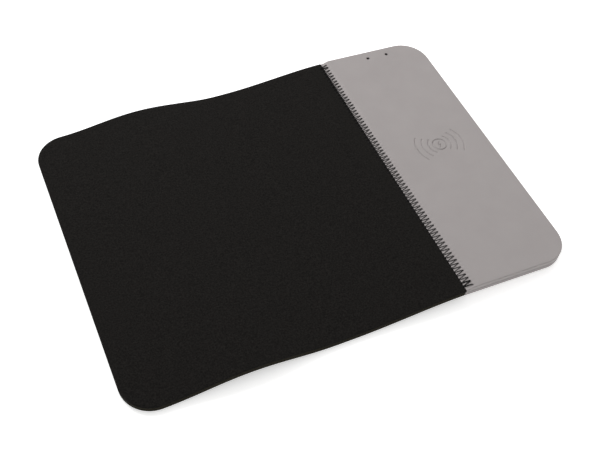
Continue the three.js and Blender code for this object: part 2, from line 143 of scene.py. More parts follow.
# ---- Places, from the frame ----
mat_low, mat_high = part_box("mat_fabric")
mat_length = mat_high.x - mat_low.x
mat_half = mat_high.y
panel_half = mat_half - PANEL_INSET
seam_x = mat_high.x + SEAM_GAP
mounts = {mount["name"]: mount for mount in frame["record"]["mounts"]}
face_point = Vector(mounts["charging_face"]["pos_m"])
face_axis = Vector(mounts["charging_face"]["axis"])
tilt = math.atan2(face_axis.x, face_axis.z)
panel_lift = PANEL_LENGTH * math.sin(tilt)
panel_origin = Vector((seam_x, 0, panel_lift))
panel_along = Vector((math.cos(tilt), 0, -math.sin(tilt)))
coil_x = (face_point - panel_origin).dot(panel_along)
coil_y = face_point.y
panel_thickness = (face_point - panel_origin).dot(face_axis)
parting = panel_thickness / 2
lip_thickness = (SEAM_RISE + FABRIC_TOP - panel_lift) / math.cos(tilt)


# ---- Camera ----
VIEW_FROM = math.radians(-27.99)  # round the object, from straight in front
VIEW_HEIGHT = math.radians(52.68)
VIEW_ROLL = math.radians(5.22)
VIEW_DISTANCE = 554 * MM
VIEW_SLIDE = Vector((3.2 * MM, -13.1 * MM))  # the object sits off the middle of the view
FOCAL_LENGTH = 54.05  # in millimetres, as is the sensor's width
SENSOR_WIDTH = 36


def make_camera():
    turn = Matrix.Rotation(VIEW_FROM, 4, "Z") @ Matrix.Rotation(math.pi / 2 - VIEW_HEIGHT, 4, "X")
    turn = turn @ Matrix.Rotation(VIEW_ROLL, 4, "Z")
    data = bpy.data.cameras.new("camera")
    data.lens = FOCAL_LENGTH
    data.sensor_width = SENSOR_WIDTH
    camera = bpy.data.objects.new("camera", data)
    camera.matrix_world = turn @ Matrix.Translation((*VIEW_SLIDE, VIEW_DISTANCE))
    bpy.context.scene.collection.objects.link(camera)
    bpy.context.scene.camera = camera


# ---- Materials ----
def linear(code):
    """A linear colour from an sRGB hex code."""
    channels = [int(code[i : i + 2], 16) / 255 for i in (1, 3, 5)]
    straight = [c / 12.92 if c <= 0.04045 else ((c + 0.055) / 1.055) ** 2.4 for c in channels]
    return (*straight, 1)


def add(tree, kind, inputs=None, **settings):
    """Adds one node. Settings are its properties, and inputs are values, sockets or other nodes.

    Another node is linked by its first output. A Mix node's inputs are 0, the factor, and then
    6 and 7, its two colours, or 2 and 3, its two numbers. Its mixed colour is output 2.
    """
    made = tree.nodes.new(kind)
    for name, value in settings.items():
        setattr(made, name, value)
    for name, value in (inputs or {}).items():
        if isinstance(value, bpy.types.Node):
            value = value.outputs[0]
        if isinstance(value, bpy.types.NodeSocket):
            tree.links.new(value, made.inputs[name])
        else:
            made.inputs[name].default_value = value
    return made


def surface(name, recipe):
    """A material. Its recipe gets the tree and the place on the object, and returns shader inputs."""
    made = bpy.data.materials.new(name)
    made.use_nodes = True
    tree = made.node_tree
    tree.nodes.clear()
    place = add(tree, "ShaderNodeTexCoord").outputs["Object"]
    shader = add(tree, "ShaderNodeBsdfPrincipled", recipe(tree, place))
    add(tree, "ShaderNodeOutputMaterial", {"Surface": shader})
    return made


KNIT_PITCH = 0.6 * MM  # twice the 0.3 mm of a real fine knit, which is too fine to show
KNIT_GRAIN = 0.95 * MM  # groups of three raised loops of a real knit, which catch the light together
GRAIN_CONTRAST = 1.6
PEBBLE = 0.5 * MM  # grain of a fine calendering roll
WAVE_UNIT = math.pi / 10  # a wave texture of scale 1 repeats every pi/10 metres


def polyester_knit(tree, place):
    """Circular-knit polyester jersey, dyed black: dull and dark, with a warm grain of raised loops."""
    rows = {"Vector": place, "Scale": WAVE_UNIT / KNIT_PITCH, "Distortion": 0.4, "Detail": 1}
    courses = add(tree, "ShaderNodeTexWave", rows, bands_direction="X")
    wales = add(tree, "ShaderNodeTexWave", rows, bands_direction="Y")
    loops = add(tree, "ShaderNodeMath", {0: courses, 1: wales}, operation="MULTIPLY")
    clumps = {"Vector": place, "Scale": 1 / KNIT_GRAIN, "Detail": 3, "Roughness": 0.7}
    grain = add(tree, "ShaderNodeTexNoise", clumps)
    relief = add(tree, "ShaderNodeMath", {0: loops, 1: grain}, operation="ADD")
    contrast = {0: grain, 1: GRAIN_CONTRAST, 2: (1 - GRAIN_CONTRAST) / 2}
    patches = add(tree, "ShaderNodeMath", contrast, operation="MULTIPLY_ADD")
    dye = {0: patches, 6: linear("#010101"), 7: linear("#282624")}
    return {
        "Base Color": add(tree, "ShaderNodeMix", dye, data_type="RGBA").outputs[2],
        "Roughness": 0.92,
        "Specular IOR Level": 0.1,
        "Sheen Weight": 0.02,
        "Sheen Roughness": 0.5,
        "Sheen Tint": linear("#c8c2b8"),
        "Normal": add(tree, "ShaderNodeBump", {"Height": relief, "Distance": 0.18 * MM}),
    }


def foam_rubber(tree, place):
    """Open-cell natural rubber foam, cut with a blade: brownish black, matt and full of tiny pores."""
    pores = add(tree, "ShaderNodeTexVoronoi", {"Vector": place, "Scale": 1 / (0.7 * MM)})
    grain = add(tree, "ShaderNodeTexNoise", {"Vector": place, "Scale": 1 / (0.5 * MM), "Detail": 4})
    relief = add(tree, "ShaderNodeMath", {0: pores, 1: grain}, operation="ADD")
    tint = {0: grain, 6: linear("#090803"), 7: linear("#2a2617")}
    return {
        "Base Color": add(tree, "ShaderNodeMix", tint, data_type="RGBA").outputs[2],
        "Roughness": 0.88,
        "Specular IOR Level": 0.12,
        "Normal": add(tree, "ShaderNodeBump", {"Height": relief, "Distance": 0.2 * MM}),
    }


def leatherette(tree, place):
    """Polyurethane-coated leatherette, calendered: smooth matt grey with a fine pebble.

    Where the symbol was pressed hot, the coating is smoother, and it is painted a little darker there:
    painted shade in the grooves.
    """
    cells = {"Vector": place, "Scale": 1 / PEBBLE, "Smoothness": 0.6}
    pebble = add(tree, "ShaderNodeTexVoronoi", cells, feature="SMOOTH_F1")
    uneven = add(tree, "ShaderNodeTexNoise", {"Vector": place, "Scale": 1 / (0.9 * MM), "Detail": 3})
    relief = add(tree, "ShaderNodeMath", {0: pebble, 1: uneven}, operation="ADD")
    cloud = add(tree, "ShaderNodeTexNoise", {"Vector": place, "Scale": 1 / (14 * MM), "Detail": 4})
    coat = {0: cloud, 6: linear("#9c9695"), 7: linear("#a49e9d")}
    plain = add(tree, "ShaderNodeMix", coat, data_type="RGBA").outputs[2]
    pressed = add(tree, "ShaderNodeAttribute", attribute_name="pressed").outputs["Fac"]
    # painted shade: the symbol's pressed grooves are painted a little darker than the plain coat
    groove_shade = {0: pressed, 6: plain, 7: linear("#999392")}
    matt = {0: pressed, 2: 0.58, 3: 0.45}
    return {
        "Base Color": add(tree, "ShaderNodeMix", groove_shade, data_type="RGBA").outputs[2],
        "Roughness": add(tree, "ShaderNodeMix", matt),
        "Specular IOR Level": 0.35,
        "Normal": add(tree, "ShaderNodeBump", {"Height": relief, "Distance": 0.03 * MM}),
    }


def sewing_thread(tree, place):
    """Two-ply spun polyester thread, dyed black, with a faint gloss where the plies cross."""
    fibre = add(tree, "ShaderNodeTexNoise", {"Vector": place, "Scale": 1 / (0.25 * MM)})
    dye = {0: fibre, 6: linear("#040404"), 7: linear("#141313")}
    return {
        "Base Color": add(tree, "ShaderNodeMix", dye, data_type="RGBA").outputs[2],
        "Roughness": 0.6,
        "Specular IOR Level": 0.2,
        "Sheen Weight": 0.05,
        "Normal": add(tree, "ShaderNodeBump", {"Height": fibre, "Distance": 0.05 * MM}),
    }


def moulded_abs(low, high):
    """Injection-moulded ABS with a fine spark-eroded finish."""

    def recipe(tree, place):
        grit = add(tree, "ShaderNodeTexNoise", {"Vector": place, "Scale": 1 / (0.3 * MM)})
        flow = add(tree, "ShaderNodeTexNoise", {"Vector": place, "Scale": 1 / (12 * MM), "Detail": 3})
        tint = {0: flow, 6: linear(low), 7: linear(high)}
        return {
            "Base Color": add(tree, "ShaderNodeMix", tint, data_type="RGBA").outputs[2],
            "Roughness": 0.48,
            "Normal": add(tree, "ShaderNodeBump", {"Height": grit, "Distance": 0.03 * MM}),
        }

    return recipe


def plated_steel(low, high):
    """Drawn steel with a thin bright plating, faintly brushed along its length."""

    def recipe(tree, place):
        along = add(tree, "ShaderNodeMapping", {"Vector": place, "Scale": (1, 0.05, 1)})
        lines = add(tree, "ShaderNodeTexNoise", {"Vector": along, "Scale": 1 / (0.1 * MM)})
        tint = {0: lines, 6: linear(low), 7: linear(high)}
        return {
            "Base Color": add(tree, "ShaderNodeMix", tint, data_type="RGBA").outputs[2],
            "Metallic": 1.0,
            "Roughness": 0.28,
            "Normal": add(tree, "ShaderNodeBump", {"Height": lines, "Distance": 0.01 * MM}),
        }

    return recipe


def enamelled_copper(tree, place):
    """Litz copper wire in clear enamel: warm orange brown, with strands that catch the light."""
    strands = add(tree, "ShaderNodeTexNoise", {"Vector": place, "Scale": 1 / (0.3 * MM), "Detail": 3})
    tint = {0: strands, 6: linear("#6e3612"), 7: linear("#de8e52")}
    return {
        "Base Color": add(tree, "ShaderNodeMix", tint, data_type="RGBA").outputs[2],
        "Metallic": 0.85,
        "Roughness": 0.35,
        "Normal": add(tree, "ShaderNodeBump", {"Height": strands, "Distance": 0.06 * MM}),
    }


def sintered_ferrite(tree, place):
    """Pressed and fired ferrite: near-black, dense and slightly shiny, with a sandy skin."""
    sand = add(tree, "ShaderNodeTexNoise", {"Vector": place, "Scale": 1 / (0.4 * MM), "Detail": 4})
    tint = {0: sand, 6: linear("#1a1a1d"), 7: linear("#3e3e42")}
    return {
        "Base Color": add(tree, "ShaderNodeMix", tint, data_type="RGBA").outputs[2],
        "Roughness": 0.42,
        "Normal": add(tree, "ShaderNodeBump", {"Height": sand, "Distance": 0.03 * MM}),
    }


def solder_mask(tree, place):
    """Glass-epoxy board under green solder mask, with the tracks showing as paler, raised runs."""
    runs = {
        "Vector": place,
        "Scale": 1 / (4 * MM),
        "Mortar Size": 0.04,
        "Color1": linear("#15502f"),
        "Color2": linear("#1a5a36"),
        "Mortar": linear("#2b7a4a"),
    }
    tracks = add(tree, "ShaderNodeTexBrick", runs)
    raised = {"Height": tracks.outputs["Fac"], "Distance": 0.05 * MM}
    return {
        "Base Color": tracks,
        "Roughness": 0.3,
        "Normal": add(tree, "ShaderNodeBump", raised),
    }


def moulded_epoxy(tree, place):
    """Chip package: black glass-filled epoxy with a matt, faintly speckled skin."""
    speckle = add(tree, "ShaderNodeTexNoise", {"Vector": place, "Scale": 1 / (0.25 * MM), "Detail": 3})
    tint = {0: speckle, 6: linear("#101012"), 7: linear("#2a2a2d")}
    return {
        "Base Color": add(tree, "ShaderNodeMix", tint, data_type="RGBA").outputs[2],
        "Roughness": 0.55,
        "Normal": add(tree, "ShaderNodeBump", {"Height": speckle, "Distance": 0.02 * MM}),
    }


def fired_ceramic(tree, place):
    """Ceramic capacitor: fired tan body, smooth and slightly mottled."""
    mottle = add(tree, "ShaderNodeTexNoise", {"Vector": place, "Scale": 1 / (0.6 * MM), "Detail": 3})
    tint = {0: mottle, 6: linear("#90703e"), 7: linear("#c8a67c")}
    return {
        "Base Color": add(tree, "ShaderNodeMix", tint, data_type="RGBA").outputs[2],
        "Roughness": 0.4,
        "Normal": add(tree, "ShaderNodeBump", {"Height": mottle, "Distance": 0.01 * MM}),
    }


def lamp_resin(tree, place):
    """Clear resin over a white lamp body, unlit: milky with a yellow cast from the phosphor."""
    haze = add(tree, "ShaderNodeTexNoise", {"Vector": place, "Scale": 1 / (0.5 * MM)})
    tint = {0: haze, 6: linear("#ded28c"), 7: linear("#faf8ec")}
    return {
        "Base Color": add(tree, "ShaderNodeMix", tint, data_type="RGBA").outputs[2],
        "Roughness": 0.25,
        "Normal": add(tree, "ShaderNodeBump", {"Height": haze, "Distance": 0.01 * MM}),
    }


def smoked_acrylic(tree, place):
    """Light pipe of smoked acrylic: looks black and glossy until the light behind it is on."""
    haze = add(tree, "ShaderNodeTexNoise", {"Vector": place, "Scale": 1 / (0.7 * MM)})
    tint = {0: haze, 6: linear("#060607"), 7: linear("#171719")}
    return {
        "Base Color": add(tree, "ShaderNodeMix", tint, data_type="RGBA").outputs[2],
        "Roughness": 0.12,
        "Normal": add(tree, "ShaderNodeBump", {"Height": haze, "Distance": 0.005 * MM}),
    }


def closed_cell_foam(tree, place):
    """Charcoal EVA foam sheet, die-cut: soft grey-black skin over small closed cells."""
    cells = add(tree, "ShaderNodeTexVoronoi", {"Vector": place, "Scale": 1 / (0.6 * MM)})
    tint = {0: cells, 6: linear("#26262a"), 7: linear("#424246")}
    return {
        "Base Color": add(tree, "ShaderNodeMix", tint, data_type="RGBA").outputs[2],
        "Roughness": 0.9,
        "Normal": add(tree, "ShaderNodeBump", {"Height": cells, "Distance": 0.1 * MM}),
    }


def make_materials():
    return {
        "knit_fabric": surface("polyester_knit", polyester_knit),
        "foam_rubber": surface("foam_rubber", foam_rubber),
        "leatherette": surface("leatherette", leatherette),
        "thread": surface("sewing_thread", sewing_thread),
        "foam": surface("closed_cell_foam", closed_cell_foam),
        "shell_plastic": surface("shell_abs", moulded_abs("#4a4a4e", "#626266")),
        "bezel_plastic": surface("bezel_abs", moulded_abs("#767270", "#8e8986")),
        "coil_wire": surface("enamelled_copper", enamelled_copper),
        "ferrite": surface("sintered_ferrite", sintered_ferrite),
        "board": surface("solder_mask", solder_mask),
        "socket_steel": surface("nickel_plated_steel", plated_steel("#aeb0b3", "#d6d5d4")),
        "tongue_plastic": surface("socket_tongue_plastic", moulded_abs("#0e0e0f", "#1e1e1f")),
        "chip_epoxy": surface("moulded_epoxy", moulded_epoxy),
        "capacitor_ceramic": surface("fired_ceramic", fired_ceramic),
        "led_resin": surface("lamp_resin", lamp_resin),
        "light_pipe": surface("smoked_acrylic", smoked_acrylic),
        "screw_steel": surface("zinc_plated_steel", plated_steel("#a6a9b0", "#ced1d6")),
    }


# ---- Mesh helpers ----
def make_object(name, points, faces, material):
    mesh = bpy.data.meshes.new(name)
    mesh.from_pydata([tuple(p) for p in points], [], [tuple(f) for f in faces])
    mesh.materials.append(material)
    made = bpy.data.objects.new(name, mesh)
    bpy.context.scene.collection.objects.link(made)
    return made


def smooth_by_angle(piece, limit=math.radians(35)):
    """Smooth shading, with a crease wherever two faces meet more sharply than the limit."""
    work = bmesh.new()
    work.from_mesh(piece.data)
    for face in work.faces:
        face.smooth = True
    for edge in work.edges:
        edge.smooth = len(edge.link_faces) == 2 and edge.calc_face_angle(0) < limit
    work.to_mesh(piece.data)
    work.free()


def cut(piece, *cutters):
    """Cuts solids out of a piece for good, and removes them."""
    for cutter in cutters:
        modifier = piece.modifiers.new("cut", "BOOLEAN")
        modifier.operation = "DIFFERENCE"
        modifier.solver = "EXACT"
        modifier.object = cutter
    ready = piece.evaluated_get(bpy.context.evaluated_depsgraph_get())
    mesh = bpy.data.meshes.new_from_object(ready)
    piece.modifiers.clear()
    piece.data = mesh
    for cutter in cutters:
        bpy.data.objects.remove(cutter)


CORNER_TURNS = np.linspace(0, math.pi / 2, 15)
LEAST_CORNER = 0.1 * MM


class Plan:
    """A rounded rectangle seen from above, as a grid whose border can be pulled in evenly.

    It runs from x = start to its length. Columns and rows are the places of the grid lines between
    the corner arcs and over the whole depth; turns are the angles of the columns on the far arcs.
    Pulls are the shares of an inset that the near and the far end take.
    """

    def __init__(self, length, half, near, far, columns, rows, pulls, far_turns=CORNER_TURNS, start=0):
        self.length = length
        self.start = start
        self.half = half
        self.pulls = pulls
        self.near = near
        self.far = far
        self.columns = np.array(columns)
        self.rows = np.array(rows) / half
        self.far_turns = np.array(sorted(far_turns, reverse=True))

    def grid(self, inset):
        near = max(self.near - inset, LEAST_CORNER)
        far = max(self.far - inset, LEAST_CORNER)
        x_near = self.start + self.pulls[0] * inset + near * (1 - np.cos(CORNER_TURNS))
        x_far = self.length - self.pulls[1] * inset - far * (1 - np.cos(self.far_turns))
        curve_near = near * (1 - np.sin(CORNER_TURNS))
        curve_far = far * (1 - np.sin(self.far_turns))
        x = np.concatenate([x_near, self.columns, x_far])
        curve = np.concatenate([curve_near, np.zeros(len(self.columns)), curve_far])
        y = self.rows[None, :] * (self.half - inset - curve)[:, None]
        return np.broadcast_to(x[:, None], y.shape), y


def border_of(numbers):
    """The border of a grid of vertex numbers, anticlockwise from above."""
    return np.concatenate([numbers[:, 0], numbers[-1, 1:], numbers[-2::-1, -1], numbers[0, -2:0:-1]])


def layered_solid(name, plan, layers, place, material):
    """A closed solid from its upper face, round its rim, to its lower face.

    Each layer is (inset, height), where the height is a number or a function of x and y.
    The first and last layers are whole faces, and those between are loops round the rim.
    """
    points, faces, loops, count = [], [], [], 0
    for step, (inset, height) in enumerate(layers):
        x, y = plan.grid(inset)
        z = height(x, y) if callable(height) else np.full(x.shape, height)
        grid = np.stack([x, y, z], -1)
        numbers = np.arange(x.size).reshape(x.shape)
        if step in (0, len(layers) - 1):
            points.append(grid.reshape(-1, 3))
            numbers = numbers + count
            corners = [numbers[:-1, :-1], numbers[1:, :-1], numbers[1:, 1:], numbers[:-1, 1:]]
            quads = np.stack(corners if step == 0 else corners[::-1], -1)
            faces.append(quads.reshape(-1, 4))
            loop = border_of(numbers)
        else:
            ring = grid.reshape(-1, 3)[border_of(numbers)]
            points.append(ring)
            loop = np.arange(len(ring)) + count
        count += len(points[-1])
        loops.append(loop)
    for upper, lower in zip(loops, loops[1:]):
        after = [np.roll(upper, -1), np.roll(lower, -1)]
        faces.append(np.stack([upper, lower, after[1], after[0]], -1))
    return make_object(name, place(np.concatenate(points)), np.concatenate(faces), material)


def rounded_edge(radius, inset, top, steps=5):
    """Layers of a rim that rolls over from a face at the height top (a function) to its side."""
    layers = []
    for angle in np.linspace(0, math.pi / 2, steps + 1):
        drop = radius * (1 - math.cos(angle))
        layers.append((inset + radius * (1 - math.sin(angle)), lowered(top, drop)))
    return layers


def lowered(height, drop):
    return lambda x, y: height(x, y) - drop


# ---- Mat ----
def smooth(share):
    """Goes from 0 to 1 as the share does, with a soft start and end."""
    return (1 - np.cos(math.pi * np.clip(share, 0, 1))) / 2


def mat_rise(x, y):
    """Height of the underside of the mat above the ground: x from its free end, y from its middle."""
    crest = CREST_HEIGHT * (1 - smooth(np.abs(x - CREST_AT) / CREST_HALF_WIDTH))
    climb = SEAM_RISE * smooth((x - LIFT_OFF) / (mat_length + SEAM_GAP - LIFT_OFF))
    fade = 1 - smooth((x - LIFT_FADES[0]) / (LIFT_FADES[1] - LIFT_FADES[0]))
    return crest + climb + BACK_LIFT * fade * (1 + y / mat_half) / 2


def strays(x, y):
    """Slow unevenness of the face of the mat, none at the seam."""
    slow = np.sin(x / SLOW_SWELL[0] + 1) * np.sin(y / SLOW_SWELL[1] + 2)
    sway = 3 * np.sin(y / SWELL_SWAY)
    quick = np.sin(x / QUICK_SWELL[0] + sway) * np.sin(y / QUICK_SWELL[1] + 1)
    return UNEVEN * (0.7 * slow + 0.3 * quick) * smooth((mat_length - x) / EVEN_BY_SEAM)


def place_mat(points):
    placed = points.copy()
    x, y = points[:, 0], points[:, 1]
    placed[:, 2] += mat_rise(np.minimum(x, mat_length + SEAM_GAP), y)
    near_seam = smooth(1 - (mat_length - x) / LAP_FADES)
    placed[:, 0] += mat_low.x - LAP_DRIFT * y / mat_half * near_seam
    return placed


def stitch_rows(half):
    """Rows a quarter of a stitch apart along the seam."""
    count = round(2 * half / (STITCH_PITCH / 4))
    return np.linspace(-half, half, count + 1)


def mat_plan(length, columns, rows):
    columns = np.linspace(MAT_CORNER, length - 3 * MAT_SEAM_CORNER, columns)
    rows = np.linspace(-mat_half, mat_half, rows)
    return Plan(length, mat_half, MAT_CORNER, MAT_SEAM_CORNER, columns, rows, (1, SEAM_PULL))


def make_fabric(material):
    """The knitted face: a thin sheet whose cut edge rolls down a little."""

    def face(x, y):
        return FABRIC_TOP + strays(x, y)

    layers = rounded_edge(FACE_EDGE, 0, face, steps=4)
    layers.append((0.05 * MM, lowered(face, FABRIC - 0.1 * MM)))
    layers.append((0.25 * MM, lowered(face, FABRIC)))
    layers.append((2 * MM, lowered(face, FABRIC)))
    length = mat_length + SEAM_SHIFT + SEAM_GAP + FABRIC_LAP
    plan = mat_plan(length, columns=74, rows=149)
    piece = layered_solid("mat_face_fabric", plan, layers, place_mat, material)
    smooth_by_angle(piece)
    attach(piece, "mat")
    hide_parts("mat_fabric")
    return piece


def grip(x, y):
    """Low ridges that cross on the underside, so that the mat doesn't slide."""
    ridges = np.cos((x + y) * math.pi / GRIP_PITCH) * np.cos((x - y) * math.pi / GRIP_PITCH)
    return GRIP_DEPTH * (0.5 - 0.5 * ridges)


def make_rubber(material):
    """The foam base, cut with a slight bow in its edge."""
    fabric_under = FABRIC_TOP - FABRIC - BOND

    def upper(x, y):
        return fabric_under + strays(x, y)

    layers = [
        (2 * MM, upper),
        (0.15 * MM, upper),
        (0.05 * MM, lowered(upper, 0.3 * MM)),
        (0.2 * MM, fabric_under * 0.62),
        (0.25 * MM, fabric_under * 0.4),
        (0.15 * MM, fabric_under * 0.18),
        (0.3 * MM, 0.12 * MM),
        (0.8 * MM, 0),
        (1.6 * MM, grip),
    ]
    plan = mat_plan(mat_length + SEAM_SHIFT, columns=150, rows=169)
    piece = layered_solid("mat_base_rubber", plan, layers, place_mat, material)
    smooth_by_angle(piece)
    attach(piece, "mat")
    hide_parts("mat_rubber_base")
    return piece


# ---- Charging panel ----
def place_panel(points):
    """From the panel's own frame (x along it from the seam, z from its underside) to the ground's."""
    along = np.array(panel_along)
    up = np.array(face_axis)
    placed = np.array(panel_origin) + np.outer(points[:, 0], along) + np.outer(points[:, 2], up)
    placed[:, 1] = points[:, 1]
    return placed


def panel_face(x, y):
    """Height of the plain top face: the sewn lip swells to the full thickness."""
    share = (x - SEAM_SHIFT) / (LIP_LENGTH - SEAM_SHIFT)
    return lip_thickness + (panel_thickness - lip_thickness) * smooth(share)


def groove(distance, half_width):
    """Pressed share of a line: all of it along the middle, with soft shoulders."""
    return 1 - smooth((np.abs(distance) - half_width) / LINE_SHOULDER + 0.5)


def arc_line(x, y, radius, half_angle):
    """Pressed share of two arcs that face along +X and -X, with round ends."""
    turn = np.minimum(np.arctan2(np.abs(y), np.abs(x)), half_angle)
    gap = np.hypot(np.abs(x) - radius * np.cos(turn), np.abs(y) - radius * np.sin(turn))
    return groove(gap, LINE_WIDTH / 2)


def bolt_line(x, y):
    """Pressed share of a small solid lightning bolt whose tips point along Y."""
    pressed = np.zeros(np.broadcast(x, y).shape)
    for (ax, ay), (bx, by) in zip(BOLT, BOLT[1:]):
        along = np.array([bx - ax, by - ay])
        length = np.hypot(*along)
        share = np.clip(((x - ax) * along[0] + (y - ay) * along[1]) / length**2, 0, 1)
        gap = np.hypot(x - ax - share * along[0], y - ay - share * along[1])
        pressed = np.maximum(pressed, groove(gap, BOLT_WIDTH / 2))
    return pressed


def symbol(x, y):
    """Depth of the pressed charging symbol: a bolt in a ring, between two sets of arcs."""
    dx = x - coil_x
    dy = y - coil_y
    pressed = groove(np.hypot(dx, dy) - RING_RADIUS, LINE_WIDTH / 2)
    pressed = np.maximum(pressed, bolt_line(dx, dy))
    for radius, half_angle in ARCS:
        pressed = np.maximum(pressed, arc_line(dx, dy, radius, half_angle))
    return LINE_DEPTH * pressed


def stitch_reach(y):
    """Place of the needle holes in the panel, from the seam."""
    return STITCH_REACH - STITCH_DRIFT * y / panel_half


def puckers(x, y):
    """How far the thread pulls the leatherette down round its needle holes and along the seam."""
    stitch = (y - FIRST_STITCH) / STITCH_PITCH
    sideways = (stitch - np.round(stitch)) * STITCH_PITCH
    reach = np.hypot((x - stitch_reach(y)) * PUCKER_STRETCH, sideways)
    dimple = PUCKER_DEPTH * np.exp(-((reach / PUCKER_RADIUS) ** 2))
    across = np.clip(x / stitch_reach(y), 0, 1)
    leg = np.abs(np.abs(stitch - np.round(stitch)) - 0.5 * (1 - across)) * STITCH_PITCH
    pressed = LEG_DEPTH * np.exp(-((leg / LEG_WIDTH) ** 2)) * (x < stitch_reach(y))
    return dimple + pressed


def cover_top(x, y):
    return panel_face(x, y) - symbol(x, y) - puckers(x, y)


def panel_plan(columns, rows, far_turns=CORNER_TURNS):
    corners = (PANEL_SEAM_CORNER, PANEL_CORNER)
    pulls = (SEAM_PULL, 1)
    return Plan(PANEL_LENGTH, panel_half, *corners, columns, rows, pulls, far_turns, SEAM_SHIFT)


def symbol_range(middle, reach, step):
    """Grid lines a step apart on both sides of the symbol's middle."""
    return np.linspace(middle - reach, middle + reach, round(2 * reach / step) + 1)


def top_cover_plan():
    """Close grid lines under the symbol and by the stitches, wide ones elsewhere.

    The symbol reaches past the straight part of the panel, so its last columns go on over the
    corner arcs. Lines of two sets that would nearly meet are left out.
    """
    reach = ARCS[-1][0] + LINE_WIDTH
    fine_x = symbol_range(coil_x, reach, SYMBOL_STEP)
    fine_y = symbol_range(coil_y, SYMBOL_SPREAD * reach, SYMBOL_STEP)
    lip = np.arange(SEAM_SHIFT + FIRST_COLUMN, LIP_LENGTH + PAST_LIP, LIP_STEP)
    before = np.linspace(lip[-1], fine_x[0], 6)[1:-1]
    straight = PANEL_LENGTH - PANEL_CORNER
    over_arc = np.arccos((fine_x[fine_x > straight] - straight) / PANEL_CORNER)
    past_symbol = CORNER_TURNS[CORNER_TURNS < over_arc[-1] - TURNS_APART]
    far_turns = np.concatenate([over_arc, past_symbol, [math.pi / 2]])
    columns = np.concatenate([lip, before, fine_x[fine_x < straight - LINES_APART[0]]])
    coarse_y = stitch_rows(panel_half)
    before_symbol = coarse_y[coarse_y < fine_y[0] - LINES_APART[1]]
    after_symbol = coarse_y[coarse_y > fine_y[-1] + LINES_APART[1]]
    rows = np.concatenate([before_symbol, fine_y, after_symbol])
    return panel_plan(columns, rows, far_turns)


def mark_symbol(piece):
    """Stores how far each point was pressed, which the leatherette reads for its smoother finish and
    for its painted shade in the grooves.
    """
    points = np.zeros(len(piece.data.vertices) * 3)
    piece.data.vertices.foreach_get("co", points)
    from_origin = points.reshape(-1, 3) - np.array(panel_origin)
    x = from_origin @ np.array(panel_along)
    z = from_origin @ np.array(face_axis)
    pressed = symbol(x, from_origin[:, 1]) / LINE_DEPTH * (z > parting)
    # the leatherette paints shade in the symbol's grooves by this mark
    mark = piece.data.attributes.new("pressed", "FLOAT", "POINT")
    mark.data.foreach_set("value", pressed)


def make_top_cover(material):
    """Leatherette wrapped over the top shell and turned under at the parting line."""
    low = parting + SPLIT / 2
    layers = rounded_edge(COVER_EDGE, 0, cover_top, steps=6)
    layers += [
        (0, low + TURN_RADIUS),
        (TURN_INSET, low + TURN_INSET),
        (TURN_RADIUS, low),
        (SKIN, low),
        (SKIN, lowered(panel_face, INNER_DROP)),
        (INNER_INSET, lowered(panel_face, SKIN + PUCKER_DEPTH)),
    ]
    piece = layered_solid("panel_cover_top", top_cover_plan(), layers, place_panel, material)
    cut(piece, port_pocket(), *light_holes())
    mark_symbol(piece)
    smooth_by_angle(piece)
    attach(piece, "panel")
    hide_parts("panel_top_cover")
    return piece


def make_lower_cover(material):
    """The lower half of the wrap, flat underneath, with a soft edge."""
    high = parting - SPLIT / 2
    layers = [
        (INNER_INSET, SKIN),
        (SKIN, SKIN + 0.4 * MM),
        (SKIN, high),
        (TURN_RADIUS, high),
        (TURN_INSET, high - TURN_INSET),
        (0, high - TURN_RADIUS),
    ]
    for angle in np.linspace(math.pi / 2, 0, 6):
        layers.append((LOWER_EDGE * (1 - math.sin(angle)), LOWER_EDGE * (1 - math.cos(angle))))
    columns = np.linspace(SEAM_SHIFT + FIRST_COLUMN, PANEL_LENGTH - PANEL_CORNER, 20)
    rows = np.linspace(-panel_half, panel_half, 74)
    plan = panel_plan(columns, rows)
    piece = layered_solid("panel_cover_lower", plan, layers, place_panel, material)
    cut(piece, port_pocket())
    smooth_by_angle(piece)
    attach(piece, "panel")
    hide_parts("panel_bottom_cover")
    return piece


def block(name, low, high):
    """A cutter in the panel's frame, between two corners."""
    spans = list(zip(low, high))
    points = np.array([(x, y, z) for x in spans[0] for y in spans[1] for z in spans[2]])
    faces = [(0, 1, 3, 2), (4, 6, 7, 5), (0, 4, 5, 1), (2, 3, 7, 6), (0, 2, 6, 4), (1, 5, 7, 3)]
    return make_object(name, place_panel(points), faces, None)


def port_pocket():
    """Room for the socket's surround, at the back edge of both covers."""
    bezel_low, bezel_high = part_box("port_bezel")
    middle = ((bezel_low + bezel_high) / 2 - panel_origin).dot(panel_along)
    half = (bezel_high.x - bezel_low.x) / 2 + BEZEL_PLAY[0]
    height = BEZEL_HEIGHT / 2 + BEZEL_PLAY[1]
    low = (middle - half, bezel_low.y - 1 * MM, parting - height)
    high = (middle + half, panel_half + 2 * MM, parting + height)
    return block("pocket", low, high)


def light_places():
    """Where the two status lights are, in the panel's frame."""
    found = []
    for name in ("light_pipe_1", "light_pipe_2"):
        low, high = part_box(name)
        middle = (low + high) / 2
        found.append(((middle - panel_origin).dot(panel_along), middle.y))
    return found


def light_holes():
    """Round cutters for the status lights, from the parting line up past the face."""
    turns = np.linspace(0, 2 * math.pi, HOLE_SIDES + 1)[:-1]
    low = np.arange(HOLE_SIDES)
    high = low + HOLE_SIDES
    sides = np.stack([low, np.roll(low, -1), np.roll(high, -1), high], -1)
    faces = [*sides.tolist(), low[::-1].tolist(), high.tolist()]
    holes = []
    for x, y in light_places():
        ring = np.stack([x + LIGHT_HOLE * np.cos(turns), y + LIGHT_HOLE * np.sin(turns)], -1)
        lower = np.column_stack([ring, np.full(HOLE_SIDES, parting)])
        upper = np.column_stack([ring, np.full(HOLE_SIDES, 2 * panel_thickness)])
        points = place_panel(np.concatenate([lower, upper]))
        holes.append(make_object("light_hole", points, faces, None))
    return holes


